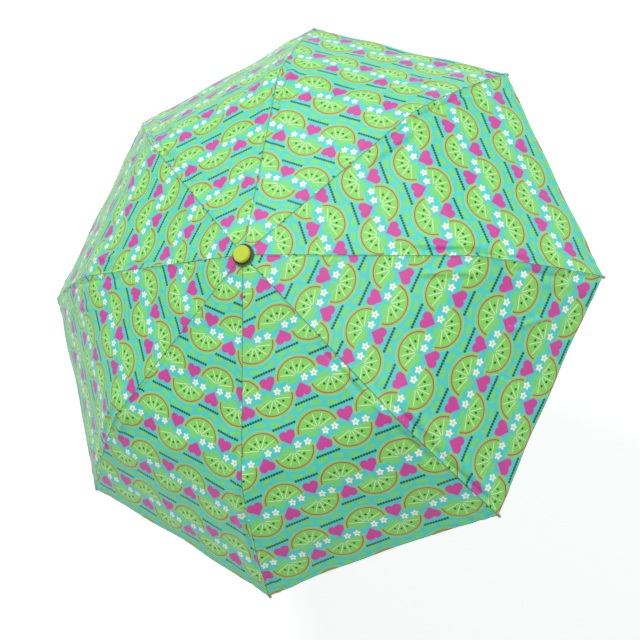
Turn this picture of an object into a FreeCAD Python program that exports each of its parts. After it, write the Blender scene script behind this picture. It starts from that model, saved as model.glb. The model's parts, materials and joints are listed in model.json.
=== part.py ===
# Folding umbrella for a child: eight two-section ribs, a telescopic shaft and a sewn canopy of eight
# gores. Millimetres, +Z up along the shaft, origin at the centre of the handle's end face.
# The umbrella is modelled open. Every rib piece is drawn along its own X axis and then placed.
import FreeCAD, Part
import Sketcher
import math
import os

Vector = FreeCAD.Vector
Rotation = FreeCAD.Rotation
Placement = FreeCAD.Placement

DIMENSIONS = (
    ("rib_count", 8, "ribs, stretchers and gores"),
    ("apex_height", 605, "handle end to the middle of the canopy"),
    ("tip_radius", 450, "shaft axis to the end of a rib tip"),
    ("tip_drop", 172.6, "middle of the canopy down to a rib tip"),
    ("pivot_radius", 12, "shaft axis to the crown and runner pivots"),
    ("crown_drop", 6.2, "middle of the canopy down to the crown pivots"),
    ("inner_length", 294, "crown pivot to fold pivot"),
    ("inner_slope", 10.8, "inner rib below level, degrees"),
    ("rib_width", 3.6, "outside width of the rib channel"),
    ("rib_height", 3.2, "height of the rib channel"),
    ("sheet_metal", 0.5, "wall of the pressed channels"),
    ("plate", 2.0, "thickness of the eye plates"),
    ("neck_length", 7.5, "solid neck at the crown end of a rib"),
    ("neck_lap", 1.5, "channel left full over the end of a neck"),
    ("neck_half", 1.5, "half height of the necks"),
    ("eye_radius", 1.6, "round eyes at the crown and runner ends"),
    ("web_notch", 7, "web left off beside the fold pivot"),
    ("fold_rise", 1.2, "fold pivot above the rib's middle line"),
    ("ear_radius", 2.0, "round ears at the fold pivot"),
    ("rod_drop", 2.9, "outer rib rod below the fold pivot"),
    ("rod_radius", 1.2, "outer rib rod"),
    ("rod_start", 3, "fold pivot to the start of the rod"),
    ("rod_turn", 12, "bend of the rod along its length, degrees"),
    ("lever_length", 11.97, "fold pivot to the link's end on the outer rib"),
    ("lever_angle", 245, "lever from the outer rib's own line, degrees"),
    ("link_offset", 3.4, "link wire beside the rib"),
    ("link_radius", 0.5, "link wire"),
    ("link_reach", 8, "rib rivet to the link's stud on the stretcher"),
    ("link_eye", 1.4, "radius of the link's flat ends"),
    ("link_flat", 0.8, "thickness of the link's flat ends"),
    ("stud_radius", 0.6, "stud that the link turns on"),
    ("stud_head", 1.1, "head of the stud"),
    ("side_play", 0.3, "sideways play beside the link"),
    ("strap_reach", 12, "fold pivot to the end of the strap under the rod"),
    ("boss_radius", 1.8, "boss of the outer rib round the fold pivot"),
    ("lever_height", 2.2, "height of the outer rib's lever"),
    ("knob_radius", 1.2, "boss on the lever's end"),
    ("stretcher_gap", 0.3, "stretcher wall beside the rib"),
    ("stretcher_web", 16, "rib rivet to the start of the stretcher's web"),
    ("stretcher_low", 2.1, "stretcher below its middle line"),
    ("stretcher_high", 1.5, "stretcher above its middle line"),
    ("stretcher_neck", 7, "runner pin to the end of the stretcher's channel"),
    ("nose_radius", 1.8, "round end of the stretcher at the rib"),
    ("pin_radius", 0.7, "stretcher's pin in the runner"),
    ("pin_reach", 2.2, "stretcher's pin to each side"),
    ("rivet_radius", 0.8, "rib rivets"),
    ("rivet_head", 1.4, "radius of the rivet heads"),
    ("head_height", 0.4, "height of the rivet heads"),
    ("running_gap", 0.05, "radial clearance of a rivet in its hole"),
    ("ring_wire", 0.6, "wire ring in the crown"),
    ("ring_play", 0.15, "room round the wire ring in the ribs' eyes"),
    ("tip_length", 9, "sleeve of a rib tip"),
    ("tip_sleeve", 1.9, "radius of a rib tip's sleeve"),
    ("tip_ball", 2.3, "radius of the ball on a rib tip"),
    ("thread_hole", 0.5, "radius of the thread hole in a rib tip's ball"),
    ("crown_top", 3.6, "middle of the canopy down to the crown's top face"),
    ("crown_skirt", 8, "crown pivots down to the end of its collar"),
    ("crown_under", 4.5, "crown pivots down to the flange's under side"),
    ("collar_wall", 2.4, "wall of the crown's collar"),
    ("edge_cut", 0.8, "bevels on the moulded flanges"),
    ("slot_inset", 2.2, "pivots in to the bottom of the rib slots"),
    ("slot_gap", 0.3, "room beside a rib or stretcher in its slot"),
    ("upper_tube", 4.9, "outside radius of the upper tube"),
    ("lower_tube", 6.1, "outside radius of the lower tube"),
    ("tube_wall", 0.6, "wall of both tubes"),
    ("foot_flare", 0.4, "upper tube's foot, wider than the tube"),
    ("foot_length", 4, "upper tube's foot"),
    ("catch_hole", 2.1, "radius of the holes for the tube catch"),
    ("catch_slot", 2.6, "width of the top catch's slot"),
    ("slot_length", 20, "length of the top catch's slot"),
    ("bush_length", 9, "bush inside the lower tube"),
    ("bush_lip", 1, "bush above the lower tube"),
    ("bush_play", 0.1, "upper tube in the bush"),
    ("leaf_width", 3, "tube catch's leaf"),
    ("button_radius", 1.8, "tube catch's button"),
    ("button_reach", 6.9, "shaft axis to the button's face"),
    ("top_leaf", 2, "width of the top catch"),
    ("catch_gap", 0.5, "top catch below the open runner"),
    ("top_reach", 7.6, "shaft axis to the top catch's nose"),
    ("tube_overlap", 50, "upper tube left inside the lower one"),
    ("catch_depth", 40, "top of the lower tube to the tube catch"),
    ("lower_reach", 298, "handle end to the top of the lower tube"),
    ("handle_length", 78, "handle"),
    ("handle_radius", 13.5, "widest part of the handle"),
    ("handle_bore", 42, "depth of the lower tube in the handle"),
    ("handle_waist", 1.6, "waist of the handle, narrower than its ends"),
    ("waist_foot", 36, "handle end to the start of the waist"),
    ("waist_top", 50, "handle end to the end of the waist"),
    ("swell_foot", 22, "handle end to the start of the lower taper"),
    ("swell_top", 64, "handle end to the end of the upper taper"),
    ("strap_hole", 2.0, "radius of the hole for a wrist strap"),
    ("strap_height", 16, "handle end to the strap hole"),
    ("strap_flat", 10.5, "shaft axis to the flats round the strap hole"),
    ("plug_radius", 9, "end plug of the handle"),
    ("plug_depth", 5, "end plug of the handle"),
    ("runner_sleeve", 9, "outside radius of the runner's sleeve"),
    ("runner_bore", 6.4, "bore of the runner"),
    ("runner_length", 38, "sleeve below the runner's pivots"),
    ("runner_rim", 0.8, "bead round the runner's lower end"),
    ("groove_in", 0.8, "runner's pin groove inside the pivots"),
    ("groove_out", 1.05, "runner's pin groove outside the pivots"),
    ("flange_radius", 14.5, "crown and runner flanges"),
    ("flange_half", 3, "half thickness of the runner's flange"),
    ("cap_radius", 12, "top cap"),
    ("cap_height", 5.5, "top cap"),
    ("cap_seat", 1.5, "middle of the canopy up to the cap's under side"),
    ("cap_stud", 3, "radius of the cap's stud"),
    ("stud_reach", 16, "middle of the canopy down to the stud's end"),
    ("rosette_radius", 15.5, "cloth rosette under the cap"),
    ("rosette_cloth", 0.8, "thickness of the rosette"),
    ("canopy_cloth", 0.8, "canopy thickness in this model"),
    ("canopy_rise", 4.4, "canopy's outer face above the rib's middle line"),
    ("cloth_gap", 0.45, "room under the cloth at the fold pivots and tips"),
    ("canopy_hole", 4, "hole in the middle of the canopy"),
    ("hem_gap", 10, "rib tip's end to the canopy's corner"),
)

doc = FreeCAD.newDocument("umbrella")
dims = doc.addObject("Spreadsheet::Sheet", "dims")
for row, (alias, number, note) in enumerate(DIMENSIONS, start=1):
    dims.set(f"A{row}", note)
    dims.set(f"B{row}", str(number))
    dims.setAlias(f"B{row}", alias)
doc.recompute()


def dim(alias):
    """The number held by one cell of the sheet."""
    return float(getattr(dims, alias))


# ---------------------------------------------------------------- helpers

def value_of(owner, formula):
    """A formula of the sheet as a plain number."""
    return float(owner.evalExpression(formula))


def sketch_on(body, role, name):
    """An empty sketch on one of the body's own origin planes."""
    plane = next(item for item in body.Origin.OriginFeatures if item.Role == role)
    sketch = body.newObject("Sketcher::SketchObject", name)
    sketch.AttachmentSupport = [(plane, "")]
    sketch.MapMode = "FlatFace"
    return sketch


def fix_point(sketch, geometry, point, spot):
    """Ties one point of a sketch to two formulas, measured from the sketch's origin."""
    for kind, formula in zip(("DistanceX", "DistanceY"), spot):
        rule = Sketcher.Constraint(kind, -1, 1, geometry, point, value_of(sketch, formula))
        sketch.setExpression(f"Constraints[{sketch.addConstraint(rule)}]", formula)


def outline(sketch, corners):
    """A closed polygon whose corners are pairs of formulas."""
    spots = [Vector(value_of(sketch, x), value_of(sketch, y), 0) for x, y in corners]
    first = sketch.GeometryCount
    count = len(corners)
    for index in range(count):
        sketch.addGeometry(Part.LineSegment(spots[index], spots[(index + 1) % count]), False)
    for index in range(count):
        after = first + (index + 1) % count
        sketch.addConstraint(Sketcher.Constraint("Coincident", first + index, 2, after, 1))
    for index in range(count):
        fix_point(sketch, first + index, 1, corners[index])


def ring(sketch, spot, radius):
    """A circle whose centre and radius are formulas."""
    middle = Vector(value_of(sketch, spot[0]), value_of(sketch, spot[1]), 0)
    size = value_of(sketch, radius)
    geometry = sketch.addGeometry(Part.Circle(middle, Vector(0, 0, 1), size), False)
    fix_point(sketch, geometry, 3, spot)
    rule = Sketcher.Constraint("Radius", geometry, size)
    sketch.setExpression(f"Constraints[{sketch.addConstraint(rule)}]", radius)


def new_body(name):
    return doc.addObject("PartDesign::Body", name)


def both_ways(body, kind, sketch, width):
    """A pad or pocket of a sketch, half its width to each side."""
    feature = body.newObject(f"PartDesign::{kind}", f"{sketch.Name}_{kind.lower()}")
    feature.Profile = sketch
    feature.SideType = "Symmetric"
    feature.setExpression("Length", width)
    doc.recompute()
    return feature


def turned(body, name, corners):
    """A revolved profile: corners are radius and height formulas."""
    sketch = sketch_on(body, "XZ_Plane", name)
    outline(sketch, corners)
    feature = body.newObject("PartDesign::Revolution", f"{name}_turned")
    feature.Profile = sketch
    feature.ReferenceAxis = (sketch, ["V_Axis"])
    feature.Angle = 360
    doc.recompute()
    return feature


def repeat_round(body, feature, name):
    """One pocket repeated for every rib."""
    pattern = body.newObject("PartDesign::PolarPattern", name)
    pattern.Originals = [feature]
    axis = next(item for item in body.Origin.OriginFeatures if item.Role == "Z_Axis")
    pattern.Axis = (axis, [""])
    pattern.Angle = 360
    pattern.setExpression("Occurrences", "dims.rib_count")
    body.Tip = pattern
    doc.recompute()
    return pattern


def primitive(kind, name, sizes, spot, turn=Rotation()):
    """A Part primitive whose sizes and base point are formulas."""
    item = doc.addObject(f"Part::{kind}", name)
    item.Placement = Placement(Vector(), turn)
    for size, formula in sizes.items():
        item.setExpression(size, formula)
    for axis, formula in zip("xyz", spot):
        item.setExpression(f"Placement.Base.{axis}", formula)
    return item


def block(name, low, high):
    """A box between two corners given as formulas."""
    sizes = {}
    for size, near, far in zip(("Length", "Width", "Height"), low, high):
        sizes[size] = f"({far}) - ({near})"
    return primitive("Box", name, sizes, low)


ACROSS = Rotation(Vector(1, 0, 0), -90)


def across(name, spot, radius, near, far):
    """A cylinder along Y at a point (x, z), from y = near to y = far."""
    sizes = {"Radius": radius, "Height": f"({far}) - ({near})"}
    return primitive("Cylinder", name, sizes, (spot[0], near, spot[1]), ACROSS)


def joined(name, pieces):
    fusion = doc.addObject("Part::MultiFuse", name)
    fusion.Shapes = pieces
    return fusion


def without(name, base, tools):
    """The base less its tools."""
    cut = doc.addObject("Part::Cut", name)
    cut.Base = base
    cut.Tool = tools[0] if len(tools) == 1 else joined(f"{name}_tools", tools)
    return cut


def node(label, pieces, placement=Placement()):
    """One named sub-part: its separate solids, at their place in the umbrella."""
    group = doc.addObject("Part::Compound", label)
    group.Label = label
    group.Links = pieces
    group.Placement = placement
    NODES.append(group)
    return group


NODES = []
RIBS = range(1, int(dim("rib_count")) + 1)
STEP_ANGLE = 360 / dim("rib_count")


def in_rib_plane(number, radius, height, angle):
    """Places a piece drawn along X: its origin at (radius, height) in one rib's plane, tilted up."""
    tilt = Placement(Vector(radius, 0, height), Rotation(Vector(0, 1, 0), -angle))
    return Placement(Vector(), Rotation(Vector(0, 0, 1), STEP_ANGLE * (number - 1))) * tilt


def moved(start, distance, angle):
    """A point of the rib plane reached from another one."""
    turn = math.radians(angle)
    return (start[0] + distance * math.cos(turn), start[1] + distance * math.sin(turn))


# ---------------------------------------------------------------- where the open linkage stands

SLOPE = -dim("inner_slope")
HALF = dim("inner_length") / 2
CROWN_PIVOT = (dim("pivot_radius"), dim("apex_height") - dim("crown_drop"))
RIB_RIVET = moved(CROWN_PIVOT, HALF, SLOPE)
FOLD_PIVOT = moved(moved(CROWN_PIVOT, dim("inner_length"), SLOPE), dim("fold_rise"), SLOPE + 90)
RUNNER_PIVOT = moved(RIB_RIVET, HALF, 180 - SLOPE)
TIP_END = (dim("tip_radius") - dim("tip_ball"), dim("apex_height") - dim("tip_drop"))
TIP_REACH = math.dist(FOLD_PIVOT, TIP_END)
TIP_LINE = math.degrees(math.atan2(TIP_END[1] - FOLD_PIVOT[1], TIP_END[0] - FOLD_PIVOT[0]))
OUTER_ANGLE = TIP_LINE + math.degrees(math.asin(dim("rod_drop") / TIP_REACH))
ROD_END = math.sqrt(TIP_REACH ** 2 - dim("rod_drop") ** 2)
ROD_CHORD = ROD_END - dim("rod_start")
BEND_RADIUS = ROD_CHORD / (2 * math.sin(math.radians(dim("rod_turn") / 2)))
LINK_STUD = moved(RIB_RIVET, dim("link_reach"), 180 - SLOPE)
LEVER_END = moved(FOLD_PIVOT, dim("lever_length"), OUTER_ANGLE + dim("lever_angle"))
LINK_LENGTH = math.dist(LINK_STUD, LEVER_END)
LINK_ANGLE = math.degrees(math.atan2(LEVER_END[1] - LINK_STUD[1], LEVER_END[0] - LINK_STUD[0]))


# ---------------------------------------------------------------- rib pieces

def rivet(name, spot, half_width):
    """A rivet across the rib, with a round head on each end."""
    shank = across(f"{name}_shank", spot, "dims.rivet_radius", f"-({half_width})", half_width)
    heads = []
    for side, near, far in (
        ("left", f"-({half_width}) - dims.head_height", f"-({half_width})"),
        ("right", half_width, f"{half_width} + dims.head_height"),
    ):
        heads.append(across(f"{name}_{side}_head", spot, "dims.rivet_head", near, far))
    return joined(name, [shank] + heads)


def inner_rib():
    """Pressed channel with an eye for the crown ring and two ears for the fold pivot."""
    body = new_body("inner_rib_channel")
    side = sketch_on(body, "XZ_Plane", "rib_side")
    outline(side, (
        ("dims.neck_length - dims.neck_lap", "-dims.rib_height / 2"),
        ("dims.inner_length", "-dims.rib_height / 2"),
        ("dims.inner_length", "dims.rib_height / 2"),
        ("dims.neck_length - dims.neck_lap", "dims.rib_height / 2"),
    ))
    both_ways(body, "Pad", side, "dims.rib_width")
    ears = sketch_on(body, "XZ_Plane", "rib_ears")
    ring(ears, ("dims.inner_length", "dims.fold_rise"), "dims.ear_radius")
    both_ways(body, "Pad", ears, "dims.rib_width")
    inside = sketch_on(body, "XZ_Plane", "rib_inside")
    outline(inside, (
        ("dims.neck_length", "-dims.rib_height"),
        ("dims.inner_length + 2 * dims.ear_radius", "-dims.rib_height"),
        ("dims.inner_length + 2 * dims.ear_radius", "2 * dims.rib_height"),
        ("dims.inner_length - dims.web_notch", "2 * dims.rib_height"),
        ("dims.inner_length - dims.web_notch", "dims.rib_height / 2 - dims.sheet_metal"),
        ("dims.neck_length", "dims.rib_height / 2 - dims.sheet_metal"),
    ))
    both_ways(body, "Pocket", inside, "dims.rib_width - 2 * dims.sheet_metal")
    neck = sketch_on(body, "XZ_Plane", "rib_neck")
    outline(neck, (
        ("0", "-dims.neck_half"),
        ("dims.neck_length", "-dims.neck_half"),
        ("dims.neck_length", "dims.neck_half"),
        ("0", "dims.neck_half"),
    ))
    both_ways(body, "Pad", neck, "dims.plate")
    eye = sketch_on(body, "XZ_Plane", "rib_eye")
    ring(eye, ("0", "0"), "dims.eye_radius")
    both_ways(body, "Pad", eye, "dims.plate")
    holes = sketch_on(body, "XZ_Plane", "rib_holes")
    ring(holes, ("0", "0"), "dims.ring_wire + dims.ring_play")
    ring(holes, ("dims.inner_length / 2", "0"), "dims.rivet_radius + dims.running_gap")
    ring(holes, ("dims.inner_length", "dims.fold_rise"), "dims.rivet_radius + dims.running_gap")
    both_ways(body, "Pocket", holes, "2 * dims.rib_width")
    wide = "dims.rib_width / 2 + dims.stretcher_gap + dims.sheet_metal + dims.running_gap"
    middle = rivet("rib_rivet", ("dims.inner_length / 2", "0"), wide)
    fold = rivet("fold_rivet", ("dims.inner_length", "dims.fold_rise"), "dims.rib_width / 2")
    return [body, middle, fold]


def stretcher():
    """Channel that straddles the rib, from the rib rivet to its eye and pin in the runner."""
    inner = "dims.rib_width / 2 + dims.stretcher_gap"
    outer = f"{inner} + dims.sheet_metal"
    channel_end = "dims.inner_length / 2 - dims.stretcher_neck"
    neck_start = "dims.inner_length / 2 - dims.stretcher_neck - 2"
    under_web = "dims.sheet_metal - dims.stretcher_low"
    past = "2 * dims.stretcher_low"
    body = new_body("stretcher_channel")
    side = sketch_on(body, "XZ_Plane", "stretcher_side")
    outline(side, (
        ("0", "-dims.stretcher_low"),
        (channel_end, "-dims.stretcher_low"),
        (channel_end, "dims.stretcher_high"),
        ("0", "dims.stretcher_high"),
    ))
    both_ways(body, "Pad", side, f"2 * ({outer})")
    nose = sketch_on(body, "XZ_Plane", "stretcher_nose")
    ring(nose, ("0", "(dims.stretcher_high - dims.stretcher_low) / 2"), "dims.nose_radius")
    both_ways(body, "Pad", nose, f"2 * ({outer})")
    inside = sketch_on(body, "XZ_Plane", "stretcher_inside")
    outline(inside, (
        (f"-({past})", f"-({past})"),
        ("dims.stretcher_web", f"-({past})"),
        ("dims.stretcher_web", under_web),
        (neck_start, under_web),
        (neck_start, past),
        (f"-({past})", past),
    ))
    both_ways(body, "Pocket", inside, f"2 * ({inner})")
    neck = sketch_on(body, "XZ_Plane", "stretcher_neck")
    outline(neck, (
        (neck_start, "-dims.neck_half"),
        ("dims.inner_length / 2", "-dims.neck_half"),
        ("dims.inner_length / 2", "dims.neck_half"),
        (neck_start, "dims.neck_half"),
    ))
    both_ways(body, "Pad", neck, "dims.plate")
    eye = sketch_on(body, "XZ_Plane", "stretcher_eye")
    ring(eye, ("dims.inner_length / 2", "0"), "dims.eye_radius")
    both_ways(body, "Pad", eye, "dims.plate")
    pin = sketch_on(body, "XZ_Plane", "stretcher_pin")
    ring(pin, ("dims.inner_length / 2", "0"), "dims.pin_radius")
    both_ways(body, "Pad", pin, "2 * dims.pin_reach")
    hole = sketch_on(body, "XZ_Plane", "stretcher_hole")
    ring(hole, ("0", "0"), "dims.rivet_radius + dims.running_gap")
    both_ways(body, "Pocket", hole, "3 * dims.rib_width")
    far = "dims.link_offset + dims.link_radius + dims.side_play"
    stud = across("link_stud", ("dims.link_reach", "0"), "dims.stud_radius", outer, far)
    head = across("link_stud_head", ("dims.link_reach", "0"), "dims.stud_head", far,
                  f"{far} + dims.head_height")
    return [joined("stretcher_with_stud", [body, stud, head])]


def outer_rib():
    """Bowed rod with an eye plate at the fold pivot and a lever for the link."""
    half = "dims.plate / 2"
    bend = dim("rod_turn") / 2
    rod = doc.addObject("Part::Torus", "outer_rod")
    rod.Radius1 = BEND_RADIUS
    rod.setExpression("Radius2", "dims.rod_radius")
    rod.setExpression("Angle3", "dims.rod_turn")
    middle = (dim("rod_start") + ROD_END) / 2
    centre = -dim("rod_drop") - BEND_RADIUS * math.cos(math.radians(bend))
    upright = Rotation(Vector(1, 0, 0), 90) * Rotation(Vector(0, 0, 1), 90 - bend)
    rod.Placement = Placement(Vector(middle, 0, centre), upright)
    low = "-dims.rod_drop - dims.rod_radius"
    post = block("fold_post", ("-dims.boss_radius", f"-({half})", low), ("dims.boss_radius", half, "0"))
    strap = block("fold_strap", ("-dims.boss_radius", f"-({half})", low),
                  ("dims.strap_reach", half, "dims.rod_radius - dims.rod_drop"))
    boss = across("fold_boss", ("0", "0"), "dims.boss_radius", f"-({half})", half)
    lever = doc.addObject("Part::Box", "fold_lever")
    lever.setExpression("Length", "dims.lever_length")
    lever.setExpression("Width", "dims.plate")
    lever.setExpression("Height", "dims.lever_height")
    tilt = Rotation(Vector(0, 1, 0), -dim("lever_angle"))
    corner = Vector(0, -dim("plate") / 2, -dim("lever_height") / 2)
    lever.Placement = Placement(tilt.multVec(corner), tilt)
    end = moved((0, 0), dim("lever_length"), dim("lever_angle"))
    knob = across("lever_boss", (str(end[0]), str(end[1])), "dims.knob_radius", f"-({half})",
                  "dims.link_offset - dims.link_radius - dims.side_play")
    solid = joined("outer_rib_solid", [rod, post, strap, boss, lever, knob])
    hole = across("fold_hole", ("0", "0"), "dims.rivet_radius + dims.running_gap",
                  "-dims.rib_width", "dims.rib_width")
    return [without("outer_rib_wire", solid, [hole])]


def link():
    """Bent wire from the stretcher's stud to the outer rib's lever."""
    near = "dims.link_offset - dims.link_flat / 2"
    far = "dims.link_offset + dims.link_flat / 2"
    wire = doc.addObject("Part::Cylinder", "link_wire")
    wire.setExpression("Radius", "dims.link_radius")
    wire.Height = LINK_LENGTH
    wire.Placement = Placement(Vector(0, dim("link_offset"), 0), Rotation(Vector(0, 1, 0), 90))
    eye = across("link_eye_end", ("0", "0"), "dims.link_eye", near, far)
    end = across("link_lever_end", (str(LINK_LENGTH), "0"), "dims.link_eye", near, far)
    hole = across("link_hole", ("0", "0"), "dims.stud_radius + dims.running_gap",
                  "0", "2 * dims.link_offset")
    return [without("link_piece", joined("link_solid", [wire, eye, end]), [hole])]


def rib_tip():
    """Moulded tip: a sleeve over the rod's end, a ball and a hole for the sewing thread."""
    body = new_body("tip_moulding")
    turned(body, "tip_sleeve_profile", (
        ("0", "0"),
        ("dims.tip_sleeve", "0"),
        ("dims.tip_sleeve", "dims.tip_length"),
        ("0", "dims.tip_length"),
    ))
    bore = primitive("Cylinder", "tip_rod_bore", {"Radius": "dims.rod_radius", "Height": "dims.tip_length"},
                     ("0", "0", "0"))
    ball = primitive("Sphere", "tip_ball_end", {"Radius": "dims.tip_ball"}, ("0", "0", "dims.tip_length"))
    thread = across("tip_thread_hole", ("0", "dims.tip_length + 2 * dims.thread_hole"), "dims.thread_hole",
                    "-2 * dims.tip_ball", "2 * dims.tip_ball")
    return [without("tip_piece", joined("tip_solid", [body, ball]), [bore, thread])]


# ---------------------------------------------------------------- canopy

def canopy_gore():
    """One gore: a sheet bent across its middle line and cut to the two seams beside it."""
    seam = math.cos(math.radians(STEP_ANGLE / 2))
    apex = dim("apex_height")
    slope = math.radians(SLOPE)
    start = (dim("pivot_radius"), apex - dim("crown_drop") + dim("canopy_rise") / math.cos(slope))
    hole = (dim("canopy_hole"), start[1] + (dim("canopy_hole") - start[0]) * math.tan(slope))
    first = math.radians(OUTER_ANGLE + dim("rod_turn") / 2)
    clear = dim("ear_radius") + dim("cloth_gap") + dim("canopy_cloth")
    touch = (FOLD_PIVOT[0] - clear * math.sin(first), FOLD_PIVOT[1] + clear * math.cos(first))
    reach = (hole[1] - touch[1] + math.tan(slope) * (touch[0] - hole[0]))
    reach /= math.tan(first) - math.tan(slope)
    kink = (touch[0] + reach, touch[1] + reach * math.tan(first))
    corner = moved(FOLD_PIVOT, ROD_END - dim("hem_gap"), OUTER_ANGLE)
    lift = dim("tip_sleeve") + dim("cloth_gap") + dim("canopy_cloth") - dim("rod_drop")
    corner = moved(corner, lift, OUTER_ANGLE + 90)
    corner = moved(corner, dim("hem_gap") * math.tan(math.radians(dim("rod_turn") / 2)), OUTER_ANGLE + 90)
    outer = [Vector(x * seam, z, 0) for x, z in (hole, kink, corner)]
    across_arc = outer[2] - outer[1]
    normal = Vector(-across_arc.y, across_arc.x, 0).normalize()
    crest = (outer[1] + outer[2]) * 0.5 + normal * (across_arc.Length * math.radians(dim("rod_turn")) / 8)
    body = new_body("gore_sheet")
    profile = sketch_on(body, "XZ_Plane", "gore_profile")
    cloth = dim("canopy_cloth")
    arc = Part.Arc(outer[1], crest, outer[2])
    centre = arc.toShape().Curve.Center
    inward = [point + (centre - point).normalize() * cloth for point in (outer[1], crest, outer[2])]
    low_hole = outer[0] - Vector(0, cloth, 0)
    low_kink = inward[0]
    profile.addGeometry(Part.LineSegment(outer[0], outer[1]), False)
    profile.addGeometry(arc, False)
    profile.addGeometry(Part.LineSegment(outer[2], inward[2]), False)
    profile.addGeometry(Part.Arc(inward[2], inward[1], inward[0]), False)
    profile.addGeometry(Part.LineSegment(low_kink, low_hole), False)
    profile.addGeometry(Part.LineSegment(low_hole, outer[0]), False)
    for index in range(profile.GeometryCount):
        profile.addConstraint(Sketcher.Constraint("Block", index))
    both_ways(body, "Pad", profile, "2 * dims.tip_radius")
    wedge = sketch_on(body, "XY_Plane", "gore_seams")
    half = math.radians(STEP_ANGLE / 2)
    run = dim("tip_radius") * 1.2
    rise = run * math.tan(half)
    for side in (1, -1):
        outline(wedge, (
            ("0", "0"),
            (str(run), str(side * rise)),
            (str(run), str(side * run * 2)),
            (str(-run), str(side * run * 2)),
            (str(-run), "0"),
        ))
    both_ways(body, "Pocket", wedge, "3 * dims.apex_height")
    return [body]


# ---------------------------------------------------------------- crown, cap and shaft

def rib_slots(body, name):
    """Open slots through a flange, one for every rib or stretcher."""
    slot = sketch_on(body, "XY_Plane", name)
    side = "dims.plate / 2 + dims.slot_gap"
    outline(slot, (
        ("dims.pivot_radius - dims.slot_inset", f"-({side})"),
        ("dims.flange_radius * 1.2", f"-({side})"),
        ("dims.flange_radius * 1.2", side),
        ("dims.pivot_radius - dims.slot_inset", side),
    ))
    pocket = both_ways(body, "Pocket", slot, "3 * dims.apex_height")
    repeat_round(body, pocket, f"{name}s")


def crown():
    """Moulded crown: a hub with a groove for the wire ring and a slot for every rib."""
    body = new_body("crown_moulding")
    top = "dims.apex_height - dims.crown_top"
    pivot = "dims.apex_height - dims.crown_drop"
    ring_room = "dims.ring_wire + dims.bush_play"
    turned(body, "crown_profile", (
        ("dims.upper_tube", f"{pivot} - dims.crown_skirt"),
        ("dims.upper_tube + dims.collar_wall", f"{pivot} - dims.crown_skirt"),
        ("dims.upper_tube + 1.6 * dims.collar_wall", f"{pivot} - dims.crown_under"),
        ("dims.flange_radius - dims.edge_cut", f"{pivot} - dims.crown_under"),
        ("dims.flange_radius", f"{pivot} - dims.crown_under + dims.edge_cut"),
        ("dims.flange_radius", f"{top} - dims.edge_cut"),
        ("dims.flange_radius - dims.edge_cut", top),
        (f"dims.pivot_radius + {ring_room}", top),
        (f"dims.pivot_radius + {ring_room}", f"{pivot} - ({ring_room})"),
        (f"dims.pivot_radius - ({ring_room})", f"{pivot} - ({ring_room})"),
        (f"dims.pivot_radius - ({ring_room})", top),
        ("dims.upper_tube", top),
    ))
    rib_slots(body, "crown_slot")
    return [body]


def runner():
    """Moulded runner: a flange with an open slot and groove for every stretcher, and a long sleeve."""
    body = new_body("runner_moulding")
    pivot = str(RUNNER_PIVOT[1])
    foot = f"{pivot} - dims.runner_length"
    under = f"{pivot} - dims.flange_half"
    turned(body, "runner_profile", (
        ("dims.runner_bore", foot),
        ("dims.runner_sleeve", foot),
        ("dims.runner_sleeve + dims.runner_rim", f"{foot} + 2 * dims.runner_rim"),
        ("dims.runner_sleeve + dims.runner_rim", f"{foot} + 5 * dims.runner_rim"),
        ("dims.runner_sleeve - dims.runner_rim", f"{foot} + 11 * dims.runner_rim"),
        ("dims.runner_sleeve - dims.runner_rim", f"{under} - dims.runner_sleeve"),
        ("dims.runner_sleeve", under),
        ("dims.pivot_radius - dims.groove_in", under),
        ("dims.pivot_radius - dims.groove_in", f"{pivot} + dims.groove_in"),
        ("dims.pivot_radius + dims.groove_out", f"{pivot} + dims.groove_in"),
        ("dims.pivot_radius + dims.groove_out", under),
        ("dims.flange_radius", under),
        ("dims.flange_radius", f"{pivot} + dims.flange_half - dims.edge_cut"),
        ("dims.flange_radius - dims.edge_cut", f"{pivot} + dims.flange_half"),
        ("dims.runner_bore + 2", f"{pivot} + dims.flange_half"),
        ("dims.runner_bore", f"{pivot} + dims.flange_half + 2"),
    ))
    rib_slots(body, "runner_slot")
    return [body]


CATCH_AZIMUTH = STEP_ANGLE / 2
CATCH_HEIGHT = dim("lower_reach") - dim("catch_depth")
TOP_CATCH_HEIGHT = RUNNER_PIVOT[1] - dim("runner_length") - dim("catch_gap")
SLOT_FOOT = TOP_CATCH_HEIGHT + 0.6 - dim("slot_length")


def turned_to_catch(piece):
    """Turns a piece drawn along X to the side of the shaft that the catches are on."""
    piece.Placement = Placement(Vector(), Rotation(Vector(0, 0, 1), CATCH_AZIMUTH)) * piece.Placement


def along_x(name, radius, near, far, height):
    """A cylinder along X at one height."""
    rod = doc.addObject("Part::Cylinder", name)
    rod.setExpression("Radius", radius)
    rod.Height = far - near
    rod.Placement = Placement(Vector(near, 0, height), Rotation(Vector(0, 1, 0), 90))
    return rod


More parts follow.
